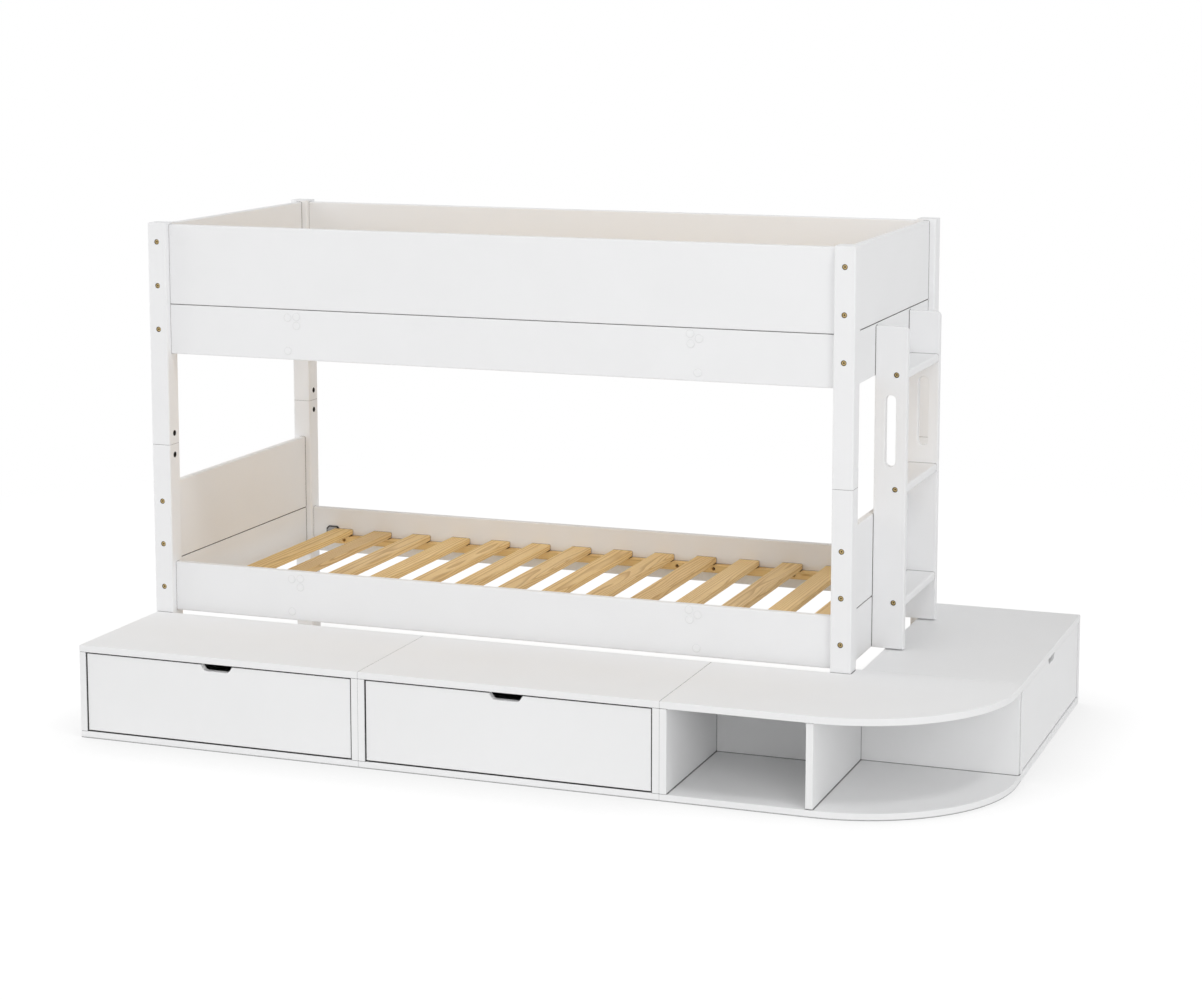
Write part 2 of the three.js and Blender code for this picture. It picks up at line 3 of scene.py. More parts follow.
import bmesh
import bpy
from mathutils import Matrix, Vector


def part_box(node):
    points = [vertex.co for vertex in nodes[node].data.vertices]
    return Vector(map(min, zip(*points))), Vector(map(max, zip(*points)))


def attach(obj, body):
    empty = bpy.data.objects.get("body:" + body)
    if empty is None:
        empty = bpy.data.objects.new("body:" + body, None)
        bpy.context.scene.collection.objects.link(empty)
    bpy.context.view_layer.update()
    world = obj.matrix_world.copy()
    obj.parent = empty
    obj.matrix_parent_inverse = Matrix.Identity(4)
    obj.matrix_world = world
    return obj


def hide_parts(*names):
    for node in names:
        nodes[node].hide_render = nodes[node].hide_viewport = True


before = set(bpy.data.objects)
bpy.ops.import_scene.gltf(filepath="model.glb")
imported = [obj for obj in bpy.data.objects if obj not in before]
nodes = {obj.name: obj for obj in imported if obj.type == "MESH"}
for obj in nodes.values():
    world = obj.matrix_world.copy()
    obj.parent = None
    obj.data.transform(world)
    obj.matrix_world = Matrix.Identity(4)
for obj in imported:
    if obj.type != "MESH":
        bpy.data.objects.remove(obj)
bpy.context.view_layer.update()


# THE STUDIO
# A white floor that runs out of sight and soft light from a pale room, stronger from its walls
# than overhead. Two broad lamps stand at the front right and the left, and a small one hangs high
# at the right, whose light draws the edge of a shadow on the corner unit's shelf.

picture_width = 1202
focal_pixels = 2654
sensor_width = 36
camera_place = (2.4595, -6.5818, 1.950)
camera_yaw = math.radians(20.35)
camera_pitch = math.radians(-7.77)
camera_shift = -0.12


def in_scene(name, data):
    """A new object of this name and data, linked to the scene."""
    made = bpy.data.objects.new(name, data)
    bpy.context.collection.objects.link(made)
    return made


camera = in_scene("camera", bpy.data.cameras.new("camera"))
camera.data.sensor_width = sensor_width
camera.data.lens = focal_pixels * sensor_width / picture_width
camera.data.shift_y = camera_shift
camera.location = camera_place
camera.rotation_euler = (math.pi / 2 + camera_pitch, 0, camera_yaw)
bpy.context.scene.camera = camera
bpy.context.scene.view_settings.view_transform = "Standard"


class Signal:
    """An output in a node tree. Arithmetic on it adds Math nodes; node() adds any other node."""

    def __init__(self, tree, socket=None):
        self.tree = tree
        self.socket = socket

    def node(self, kind, settings=None, inputs=None, output=0):
        made = self.tree.nodes.new(kind)
        for name, value in (settings or {}).items():
            setattr(made, name, value)
        for name, value in (inputs or {}).items():
            if isinstance(value, Signal):
                self.tree.links.new(value.socket, made.inputs[name])
            else:
                made.inputs[name].default_value = value
        return Signal(self.tree, made.outputs[output] if made.outputs else None)

    def outlets(self):
        """All outputs of the node that this signal comes from."""
        return [Signal(self.tree, output) for output in self.socket.node.outputs]

    def math(self, operation, first, second=0.0):
        return self.node("ShaderNodeMath", {"operation": operation}, {0: first, 1: second})

    def __add__(self, other):
        return self.math("ADD", self, other)

    def __radd__(self, other):
        return self.math("ADD", other, self)

    def __sub__(self, other):
        return self.math("SUBTRACT", self, other)

    def __rsub__(self, other):
        return self.math("SUBTRACT", other, self)

    def __mul__(self, other):
        return self.math("MULTIPLY", self, other)

    def __rmul__(self, other):
        return self.math("MULTIPLY", other, self)

    def between(self, low, high):
        """0 where the signal is low or less, 1 where it is high or more, and smooth between them."""
        return self.node("ShaderNodeMapRange", {"interpolation_type": "SMOOTHSTEP"},
                         {"Value": self, "From Min": low, "From Max": high})

    def ranging(self, low, high):
        """low where the signal is 0, high where it is 1."""
        return low + (high - low) * self

    def mix(self, first, second):
        """The first colour where the signal is 0, the second where it is 1."""
        return self.node("ShaderNodeMix", {"data_type": "RGBA"}, {0: self, 6: first, 7: second}, 2)


def seen_directly(start):
    """1 for rays from the camera, or off or through something shiny, and 0 for light on its way."""
    camera_ray, glossy_ray, clear_ray = (
        start.node("ShaderNodeLightPath", output=ray)
        for ray in ("Is Camera Ray", "Is Glossy Ray", "Is Transmission Ray"))
    return start.math("MAXIMUM", camera_ray, start.math("MAXIMUM", glossy_ray, clear_ray))


room_low = (1.05, 0.50, 0.78, 0.59)
room_high = (0.81, 0.92, 0.41, 0.73)
room_ceiling = 0.42
room_white = (1.0, 1.0, 1.0, 1)
seen_strength = 1.0
side_blend = (-0.5, 0.5)
high_blend = (0.15, 0.5)
ceiling_blend = (0.55, 0.9)

world = bpy.data.worlds.new("room")
world.use_nodes = True
world.node_tree.nodes.clear()
room = Signal(world.node_tree)
look = room.node("ShaderNodeTexCoord", output="Generated")
look_right, look_back, look_up = room.node("ShaderNodeSeparateXYZ", inputs={"Vector": look}).outlets()
rightness = look_right.between(*side_blend)
frontness = 1 - look_back.between(*side_blend)
upness = look_up.between(*high_blend)
topness = look_up.between(*ceiling_blend)


def round_the_room(levels):
    """The room's light by direction, from its levels front left, front right, rear left, rear right."""
    front_left, front_right, rear_left, rear_right = levels
    front = front_left + (front_right - front_left) * rightness
    rear = rear_left + (rear_right - rear_left) * rightness
    return rear + (front - rear) * frontness


glow = round_the_room(room_low) * (1 - upness) + round_the_room(room_high) * (upness - topness)
glow = glow + room_ceiling * topness
room_light = room.node("ShaderNodeBackground", inputs={"Color": room_white, "Strength": glow})
room_seen = room.node("ShaderNodeBackground", inputs={"Color": room_white, "Strength": seen_strength})
room_shown = room.node("ShaderNodeMixShader", inputs={0: seen_directly(room), 1: room_light, 2: room_seen})
room.node("ShaderNodeOutputWorld", inputs={"Surface": room_shown})
bpy.context.scene.world = world

lamp_aim = Vector((0, 0, 0.5))
lamps = (
    ("right_lamp", Vector((7.4, -8.9, 3.6)), 5.0, 214),
    ("left_lamp", Vector((-9.0, -1.0, 5.0)), 5.0, 258),
    ("high_lamp", Vector((4.0, -2.6, 8.1)), 1.5, 100),
)
for lamp_name, lamp_place, lamp_size, lamp_power in lamps:
    lamp = in_scene(lamp_name, bpy.data.lights.new(lamp_name, "AREA"))
    lamp.data.energy = lamp_power
    lamp.data.size = lamp_size
    lamp.location = lamp_place
    lamp.rotation_euler = (lamp_aim - lamp_place).to_track_quat("-Z", "Y").to_euler()

floor_half = 40.0
floor_white = (0.85, 0.85, 0.85, 1)
floor_shadow = (0.14, 0.14, 0.14, 1)
floor_glow = 0.925
floor_blend = (2.4, 4.0)
floor_bounce = 0.10
floor_painted_shadow = 0.33
floor_painted_shadow_reach = 0.28
floor_painted_shadow_samples = 16

floor_mesh = bpy.data.meshes.new("floor")
floor_corners = [(x * floor_half, y * floor_half, 0) for x, y in ((-1, -1), (1, -1), (1, 1), (-1, 1))]
floor_mesh.from_pydata(floor_corners, [], [(0, 1, 2, 3)])
floor = in_scene("floor", floor_mesh)
floor_finish = bpy.data.materials.new("studio_floor")
floor_finish.use_nodes = True
floor_finish.node_tree.nodes.clear()
ground = Signal(floor_finish.node_tree)
floor_matt = ground.node("ShaderNodeBsdfDiffuse", inputs={"Color": floor_white})
floor_lift = ground.node("ShaderNodeEmission", inputs={"Strength": floor_bounce})
floor_lit = ground.node("ShaderNodeAddShader", inputs={0: floor_matt, 1: floor_lift})
floor_shade = ground.node("ShaderNodeBsdfDiffuse", inputs={"Color": floor_shadow})
# Painted shadow: near the object an ambient occlusion mask dims the floor's glow as the camera sees it.
floor_open = ground.node("ShaderNodeAmbientOcclusion", {"samples": floor_painted_shadow_samples},
                         {"Distance": floor_painted_shadow_reach}, "AO")
floor_level = floor_glow - floor_painted_shadow * (1 - floor_open)
floor_own = ground.node("ShaderNodeEmission", inputs={"Strength": floor_level})
floor_under = ground.node("ShaderNodeAddShader", inputs={0: floor_shade, 1: floor_own})
floor_away = ground.node("ShaderNodeEmission", inputs={"Strength": seen_strength})
floor_place = ground.node("ShaderNodeTexCoord", output="Object")
floor_reach = ground.node("ShaderNodeVectorMath", {"operation": "LENGTH"}, {0: floor_place}, "Value")
floor_seen = ground.node("ShaderNodeMixShader", inputs={
    0: floor_reach.between(*floor_blend), 1: floor_under, 2: floor_away})
floor_shown = ground.node("ShaderNodeMixShader", inputs={
    0: seen_directly(ground), 1: floor_lit, 2: floor_seen})
ground.node("ShaderNodeOutputMaterial", inputs={"Surface": floor_shown})
floor_mesh.materials.append(floor_finish)


# POSTS
# Square pine posts, each of a lower and an upper half on a dowel, planed, sanded round at the
# arrises and lacquered white. The lacquer lies thin, so the grain still shows as a faint relief.

lacquer_white = (0.887, 0.889, 0.896, 1)
lacquer_shade = (0.875, 0.877, 0.883, 1)
lacquer_roughness = (0.50, 0.60)
lacquer_gloss = 0.22
lacquer_relief = 0.00012
lacquer_cloud_scale = 6.0
lacquer_peel_scale = 600.0
grain_fine = 420
grain_slow = 14
grain_roughness = 0.6
noise_spread = (0.3, 0.7)
main_share = 0.7
# Painted shade: an ambient occlusion mask darkens the colour towards a dark tone in joints, bores and inner
# corners, where shade falls.
joint_shade = (0.45, 0.92)
painted_shade_samples = 8
painted_shade_dark = (0.16, 0.155, 0.15, 1)
painted_shade_soft = (0.48, 0.475, 0.47, 1)
post_painted_shade_reach = 0.002
rail_painted_shade_reach = 0.003
end_painted_shade_reach = 0.005


def new_finish(name):
    """An empty material and the signal that its nodes start from."""
    material = bpy.data.materials.new(name)
    material.use_nodes = True
    material.node_tree.nodes.clear()
    return material, Signal(material.node_tree)


def scaled(place, scales):
    """A place with each coordinate multiplied by its scale."""
    return place.node("ShaderNodeVectorMath", {"operation": "MULTIPLY"}, {0: place, 1: scales})


def noise(start, scales, detail, place=None, roughness=0.5):
    """Noise over the object's coordinates, or over another place, at these scales along the axes."""
    place = place or start.node("ShaderNodeTexCoord", output="Object")
    return start.node("ShaderNodeTexNoise", inputs={
        "Vector": scaled(place, scales), "Scale": 1.0, "Detail": detail, "Roughness": roughness})


def blended(main, lesser):
    """Two noises in one, more of the first."""
    return main * main_share + lesser * (1 - main_share)


def free_of_painted_shade(start, reach, shade_band=joint_shade):
    """1 on an open face and 0 deep in a joint, a bore or an inner corner: a mask for painted shade, from
    ambient occlusion.
    """
    light = start.node("ShaderNodeAmbientOcclusion", {"samples": painted_shade_samples}, {"Distance": reach}, "AO")
    return light.between(*shade_band)


def shade(start, colour, wear, roughness, height, relief, fixed=None):
    """The finished surface: roughness over the wear, a relief of this depth, and any fixed values."""
    surface = start.node("ShaderNodeBsdfPrincipled", inputs={
        "Base Color": colour,
        "Roughness": wear.ranging(*roughness),
        "Normal": start.node("ShaderNodeBump", inputs={"Distance": relief, "Height": height}),
        **(fixed or {})})
    start.node("ShaderNodeOutputMaterial", inputs={"Surface": surface})


def lacquered(name, along, reach, painted_shade_tone):
    """White lacquer over timber, its grain along axis 0 to 2, with painted shade of this tone within reach of
    a joint.
    """
    material, start = new_finish(name)
    grain = [grain_fine] * 3
    grain[along] = grain_slow
    fibres = noise(start, grain, detail=3.0, roughness=grain_roughness)
    clouds = noise(start, [lacquer_cloud_scale] * 3, detail=2.0)
    peel = noise(start, [lacquer_peel_scale] * 3, detail=1.0)
    tone = blended(clouds, fibres).between(*noise_spread).mix(lacquer_shade, lacquer_white)
    # Painted shade in joints, bores and inner corners, from the ambient occlusion mask.
    shade(start, free_of_painted_shade(start, reach).mix(painted_shade_tone, tone), clouds, lacquer_roughness,
          blended(fibres, peel), lacquer_relief, {"Specular IOR Level": lacquer_gloss})
    return material


def finish_nodes(material, names):
    """Gives these pieces of the frame a finish. Their shape stays as it is."""
    for name in names:
        mesh = nodes[name].data
        mesh.materials.clear()
        mesh.materials.append(material)


upright_lacquer = lacquered("white_lacquer_upright", 2, post_painted_shade_reach, painted_shade_dark)
levels = ("lower", "upper")
corners = ("front_left", "front_right", "rear_left", "rear_right")
finish_nodes(upright_lacquer, [f"{level}_post_{corner}" for level in levels for corner in corners])


# POST DOWELS
# Turned beech dowels that join the two halves of each post and let the upper bunk lift off. They
# are bare, and hidden when the bed is together.

beech_light = (0.60, 0.40, 0.24, 1)
beech_dark = (0.48, 0.30, 0.17, 1)
beech_scales = (900, 900, 60)
beech_spread = (0.35, 0.65)
beech_roughness = (0.55, 0.65)
beech_relief = 0.0001

beech, start = new_finish("beech_dowel")
flecks = noise(start, beech_scales, detail=3.0)
beech_tone = flecks.between(*beech_spread).mix(beech_dark, beech_light)
shade(start, beech_tone, flecks, beech_roughness, flecks, beech_relief)
finish_nodes(beech, [f"post_dowel_{corner}" for corner in corners])


# POST BOLTS
# Yellow-plated steel bolts with a hexagon socket. Each lies in a bore of the post, its head just
# below the face, and runs into the end of an end board: three in each half of a post.

bolt_head_radius = 0.0072
bolt_head_height = 0.0045
bolt_edge = 0.0006
bolt_rim_spread = 0.25
bolt_socket_radius = 0.0026
bolt_socket_depth = 0.0030
bolt_below_face = 0.0022
bolt_pitch = 0.120
bolt_rows = 3
round_sides = 32
hexagon_sides = 6

plating_light = (0.70, 0.54, 0.27, 1)
plating_dark = (0.50, 0.36, 0.15, 1)
plating_painted_shade = (0.090, 0.060, 0.028, 1)
plating_metal = 0.85
plating_roughness = (0.30, 0.45)
plating_scale = 900.0
bolt_shade_reach = 0.0040
bolt_shade = (0.72, 0.97)
metal_relief = 0.00004

plated_steel, start = new_finish("yellow_plated_steel")
mottle = noise(start, [plating_scale] * 3, detail=2.0)
plating_tone = mottle.between(*noise_spread).mix(plating_dark, plating_light)
# Painted shade: near the bore wall and in the socket an ambient occlusion mask darkens the plating to a deep
# brown.
shade(start, free_of_painted_shade(start, bolt_shade_reach, bolt_shade).mix(plating_painted_shade, plating_tone),
      mottle, plating_roughness, mottle, metal_relief, {"Metallic": plating_metal})


class Recipe:
    """A Geometry Nodes tree with named inputs, and the plain meshes that it makes."""

    def __init__(self, name, inputs):
        self.tree = bpy.data.node_groups.new(name, "GeometryNodeTree")
        self.start = Signal(self.tree)
        self.keys = {}
        kinds = {float: "NodeSocketFloat", int: "NodeSocketInt", tuple: "NodeSocketVector"}
        self.tree.interface.new_socket("Geometry", in_out="INPUT", socket_type="NodeSocketGeometry")
        self.tree.interface.new_socket("Geometry", in_out="OUTPUT", socket_type="NodeSocketGeometry")
        for label, kind in {**inputs, "Finish": None}.items():
            kind = kinds.get(kind, "NodeSocketMaterial")
            socket = self.tree.interface.new_socket(label, in_out="INPUT", socket_type=kind)
            self.keys[label] = socket.identifier
        self.inputs = self.tree.nodes.new("NodeGroupInput")

    def given(self, label):
        return Signal(self.tree, self.inputs.outputs[label])

    def cylinder(self, sides, radius, depth):
        return self.start.node("GeometryNodeMeshCylinder", inputs={
            "Vertices": sides, "Radius": radius, "Depth": depth})

    def raised(self, shape, height):
        move = self.start.node("ShaderNodeCombineXYZ", inputs={"Z": height})
        return self.start.node("GeometryNodeTransform", inputs={"Geometry": shape, "Translation": move})

    def turned(self, shape, turn):
        return self.start.node("GeometryNodeTransform", inputs={"Geometry": shape, "Rotation": turn})

    def cut(self, body, tool):
        """The body without what the tool takes out. A tool lies half outside, so it is twice as deep."""
        return self.start.node("GeometryNodeMeshBoolean", {"operation": "DIFFERENCE"}, {
            "Mesh 1": body, "Mesh 2": tool})

    def joined(self, first, second):
        """Two solids as one. Both go into the same input."""
        whole = self.start.node("GeometryNodeMeshBoolean", {"operation": "UNION"}, {"Mesh 2": first})
        self.tree.links.new(second.socket, whole.socket.node.inputs["Mesh 2"])
        return whole

    def at_points(self, shape, points=None):
        """The shape at each of these points, or of the start points."""
        return self.start.node("GeometryNodeInstanceOnPoints", inputs={
            "Points": points or self.given("Geometry"), "Instance": shape})

    def in_a_row(self, shape):
        """The shape as often as Count says, from First on, a Step apart."""
        row = self.start.node("GeometryNodeMeshLine", {"mode": "OFFSET"}, {
            "Count": self.given("Count"), "Start Location": self.given("First"),
            "Offset": self.given("Step")})
        return self.at_points(shape, row)

    def end(self, geometry):
        realized = self.start.node("GeometryNodeRealizeInstances", inputs={"Geometry": geometry})
        finished = self.start.node("GeometryNodeSetMaterial", inputs={
            "Geometry": realized, "Material": self.given("Finish")})
        self.start.node("NodeGroupOutput", inputs={"Geometry": finished})

    def make(self, name, finish, values, points=()):
        """A mesh object of this name and finish from the tree, with its start points if it takes any."""
        base = bpy.data.meshes.new(name + "_points")
        base.from_pydata([tuple(point) for point in points], [], [])
        holder = in_scene(name + "_holder", base)
        modifier = holder.modifiers.new("recipe", "NODES")
        modifier.node_group = self.tree
        for label, value in {**values, "Finish": finish}.items():
            modifier[self.keys[label]] = value
        ready = holder.evaluated_get(bpy.context.evaluated_depsgraph_get())
        piece = in_scene(name, bpy.data.meshes.new_from_object(ready))
        piece.data.name = name
        bpy.data.objects.remove(holder)
        return piece


bolt_head = Recipe("socket_bolt_head", {
    "Head Radius": float, "Head Height": float, "Edge": float, "Socket Radius": float,
    "Socket Depth": float, "Turn": tuple})
head_height = bolt_head.given("Head Height")
head_edge = bolt_head.given("Edge")
head_socket = bolt_head.given("Socket Radius")
head = bolt_head.cylinder(round_sides, bolt_head.given("Head Radius"), head_height)
head = bolt_head.raised(head, head_height * -0.5)
socket_tool = bolt_head.cylinder(hexagon_sides, head_socket, bolt_head.given("Socket Depth") * 2.0)
rim_tool = bolt_head.start.node("GeometryNodeMeshCone", inputs={
    "Vertices": round_sides, "Radius Top": head_socket * (1 + bolt_rim_spread),
    "Radius Bottom": head_socket * (1 - bolt_rim_spread), "Depth": head_edge * 2.0})
head = bolt_head.cut(bolt_head.cut(head, socket_tool), bolt_head.raised(rim_tool, head_edge * -1.0))
bolt_head.end(bolt_head.at_points(bolt_head.turned(head, bolt_head.given("Turn"))))

bolt_sizes = {
    "Head Radius": bolt_head_radius, "Head Height": bolt_head_height, "Edge": bolt_edge,
    "Socket Radius": bolt_socket_radius, "Socket Depth": bolt_socket_depth}
facing_front = (math.pi / 2, 0, 0)
facing_rear = (-math.pi / 2, 0, 0)


def middle(box, axis):
    return (box[0][axis] + box[1][axis]) / 2


def outer_face(box, side, sunk=0.0):
    """Where a piece's face to the front or rear lies, less what a part is sunk, and the turn to face out."""
    if side == "front":
        return box[0][1] + sunk, facing_front
    return box[1][1] - sunk, facing_rear


for corner in corners:
    face, side = corner.split("_")
    face_y, turn = outer_face(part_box(f"lower_post_{corner}"), face, bolt_below_face)
    rails = [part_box(f"{level}_end_rail_{side}") for level in levels]
    points = [(middle(rail, 0), face_y, middle(rail, 2) + row * bolt_pitch)
              for rail in rails for row in range(bolt_rows)]
    bolts = bolt_head.make(f"post_bolts_{corner}", plated_steel, {**bolt_sizes, "Turn": turn}, points)
    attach(bolts, "root")


# LOCK SCREWS
# Black socket screws across the dowel joint, one in each half of a post. Each sits at the bottom of its bore
# in the inner face of the post; a black liner lines the bore and has a thin collar on that face: painted
# shade that makes the bore dark.

lock_screw_height = 0.030
lock_shade_liner_radius = 0.0069
lock_shade_liner_wall = 0.0008
lock_shade_liner_length = 0.0105
lock_shade_collar_radius = 0.0080
lock_shade_collar_height = 0.00025
lock_screw_sunk = 0.0070
lock_socket_share = 0.9
black_light = (0.030, 0.027, 0.025, 1)
black_dark = (0.012, 0.011, 0.010, 1)
black_roughness = (0.62, 0.74)
black_scale = 700.0

# Black steel for the screws and the stop's base leaf, and painted shade for the liners of the lock screw
# bores.
blackened_and_painted_shade, start = new_finish("blackened_steel_and_painted_shade")
mottle = noise(start, [black_scale] * 3, detail=2.0)
black_tone = mottle.between(*noise_spread).mix(black_dark, black_light)
shade(start, black_tone, mottle, black_roughness, mottle, metal_relief)

lock_screw = Recipe("lock_screw_in_shade_liner", {
    "Radius": float, "Wall": float, "Length": float, "Shade Collar Radius": float, "Shade Collar Height": float,
    "Screw Sunk": float, "Socket Radius": float, "Turn": tuple})
shade_liner_radius = lock_screw.given("Radius")
shade_liner_length = lock_screw.given("Length")
shade_collar_height = lock_screw.given("Shade Collar Height")
shade_liner = lock_screw.cylinder(round_sides, shade_liner_radius, shade_liner_length)
shade_liner = lock_screw.raised(shade_liner, (shade_collar_height - shade_liner_length) * 0.5)
shade_collar = lock_screw.cylinder(round_sides, lock_screw.given("Shade Collar Radius"), shade_collar_height)
shade_liner = lock_screw.joined(shade_liner, lock_screw.raised(shade_collar, shade_collar_height * 0.5))
bore_tool = lock_screw.cylinder(
    round_sides, shade_liner_radius - lock_screw.given("Wall"), lock_screw.given("Screw Sunk") * 2.0)
hexagon_tool = lock_screw.cylinder(
    hexagon_sides, lock_screw.given("Socket Radius"), shade_liner_length * (2 * lock_socket_share))
shade_liner = lock_screw.cut(lock_screw.cut(shade_liner, bore_tool), hexagon_tool)
lock_screw.end(lock_screw.at_points(lock_screw.turned(shade_liner, lock_screw.given("Turn"))))

for corner in corners:
    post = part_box(f"lower_post_{corner}")
    at_left = corner.endswith("left")
    face_x = post[1][0] if at_left else post[0][0]
    turn = (0, math.pi / 2 if at_left else -math.pi / 2, 0)
    screws = lock_screw.make(f"lock_screws_{corner}", blackened_and_painted_shade, {
        "Radius": lock_shade_liner_radius, "Wall": lock_shade_liner_wall, "Length": lock_shade_liner_length,
        "Shade Collar Radius": lock_shade_collar_radius, "Shade Collar Height": lock_shade_collar_height,
        "Screw Sunk": lock_screw_sunk, "Socket Radius": bolt_socket_radius, "Turn": turn},
        [(face_x, middle(post, 1), post[1][2] + z) for z in (-lock_screw_height, lock_screw_height)])
    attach(screws, "root")


# RAILS, GUARDS AND END PANELS
# Pine boards of one thickness with rounded long arrises, lacquered white like the posts. Rails
# carry the bunks, a guard stands on each upper rail and a panel on each lower end rail.

lengthwise_lacquer = lacquered("white_lacquer_lengthwise", 0, rail_painted_shade_reach, painted_shade_soft)
crosswise_lacquer = lacquered("white_lacquer_crosswise", 1, end_painted_shade_reach, painted_shade_dark)

side_boards = ("lower_side_rail", "upper_side_rail", "side_guard")
end_boards = ("lower_end_rail", "lower_end_panel", "upper_end_rail", "upper_end_guard")
sides = ("front", "rear")
finish_nodes(lengthwise_lacquer, [f"{board}_{side}" for board in side_boards for side in sides])
finish_nodes(crosswise_lacquer, [f"{board}_{end}" for board in end_boards for end in ("left", "right")])


# COVER CAPS
# White plastic caps in the holes for the side rails' fittings, four in a group near both ends.
# They stand a hair proud of the lacquer on a thin rim, coloured darker as painted shade, so that only their
# edge shows.

cap_radius = 0.0098
cap_proud = 0.0007
cap_edge = 0.0010
cap_rim_width = 0.0011
cap_rim_proud = 0.0003
cap_sides = 40
cap_left_places = ((0.412, 0.114), (0.438, 0.117), (0.438, 0.093), (0.412, 0.024))
cap_right_places = ((1.553, 0.122), (1.577, 0.110), (1.555, 0.096), (1.574, 0.022))
cap_white = (0.888, 0.890, 0.895, 1)
cap_shade = (0.874, 0.876, 0.881, 1)
# The rim's darker tones are painted shade around the cap's edge.
cap_rim_painted_shade_pale = (0.825, 0.827, 0.832, 1)
cap_rim_painted_shade_deep = (0.790, 0.792, 0.796, 1)
plastic_roughness = (0.48, 0.56)
plastic_relief = 0.00003
plastic_scale = 1500.0


def moulded_plastic(name, low, high):
    """Smooth plastic with a fine speckle between two tones."""
    material, start = new_finish(name)
    speckle = noise(start, [plastic_scale] * 3, detail=1.0)
    shade(start, speckle.between(*noise_spread).mix(low, high), speckle, plastic_roughness,
          speckle, plastic_relief, {"Specular IOR Level": lacquer_gloss})
    return material


cap_plastic = moulded_plastic("white_cap_plastic", cap_shade, cap_white)
cap_rim_painted_shade_plastic = moulded_plastic("cap_rim_painted_shade", cap_rim_painted_shade_deep, cap_rim_painted_shade_pale)

cap_recipe = Recipe("cover_cap", {"Radius": float, "Height": float, "Edge": float, "Turn": tuple})
full_radius = cap_recipe.given("Radius")
cap = cap_recipe.start.node("GeometryNodeMeshCone", inputs={
    "Vertices": cap_sides, "Side Segments": 1, "Radius Top": full_radius - cap_recipe.given("Edge"),
    "Radius Bottom": full_radius, "Depth": cap_recipe.given("Height")})
cap_recipe.end(cap_recipe.at_points(cap_recipe.turned(cap, cap_recipe.given("Turn"))))

bed_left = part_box("lower_post_front_left")[0][0]
for level in levels:
    for side in sides:
        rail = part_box(f"{level}_side_rail_{side}")
        face_y, turn = outer_face(rail, side)
        points = [(bed_left + x, face_y, rail[0][2] + z) for x, z in cap_left_places + cap_right_places]
        caps = cap_recipe.make(f"{level}_rail_caps_{side}", cap_plastic, {
            "Radius": cap_radius, "Height": cap_proud * 2, "Edge": cap_edge, "Turn": turn}, points)
        rims = cap_recipe.make(f"{level}_rail_cap_rims_{side}", cap_rim_painted_shade_plastic, {
            "Radius": cap_radius + cap_rim_width, "Height": cap_rim_proud * 2, "Edge": cap_rim_proud,
            "Turn": turn}, points)
        for piece in (caps, rims):
            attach(piece, "root")


# SLATTED BASES
# Fourteen bare pine slats in each bunk, planed with softened arrises and screwed to a pine batten
# along each side rail. The battens begin under the first slat and have spare holes for fittings.

slat_count = 14
slat_width = 0.062
slat_thickness = 0.018
slat_arris = 0.004
slat_left_margin = 0.157
slat_right_margin = 0.1482
slat_end_gap = 0.0005
batten_count = 2
batten_thickness = 0.022
batten_height = 0.024
batten_arris = 0.002
batten_above_rail = 0.032
batten_left_margin = 0.129
batten_end_gap = 0.002
batten_hole_radius = 0.0055
batten_hole_places = (0.168, 1.241, 1.352, 1.594)
batten_hole_sides = 16
arris_steps = 4

pine_light = (0.930, 0.690, 0.350, 1)
pine_mid = (0.850, 0.590, 0.255, 1)
pine_dark = (0.510, 0.285, 0.085, 1)
# Painted shade: the pine darkens to a deep brown near joints and in the batten holes.
pine_painted_shade = (0.060, 0.028, 0.012, 1)
pine_painted_shade_reach = 0.004
pine_roughness = (0.52, 0.68)
pine_relief = 0.00025
pine_fibre_share = 0.6
pine_hue = (0.498, 0.502)
pine_saturation = (0.96, 1.04)
pine_value = (0.94, 1.06)
fibre_scales = (900, 16, 900)
drift_scales = (9, 1.6, 9)
streak_scales = (430, 5, 430)
streak_band = (0.56, 0.74)
streak_strength = 0.45
ring_pitch = 0.0058
ring_strength = 0.60
ring_unevenness = 1.5
ring_rise = (0.45, 0.90)
ring_fall = (0.93, 1.0)
ring_bend_across = 0.040
ring_bend_up = 0.022
pith_wander = 0.09
pith_depth = 0.012
pith_depth_spread = 0.055
boards_apart = (3.0, 9.0, 0.7)
second_seed = 17.3
slat_seed = 3.0
batten_seed = 41.0


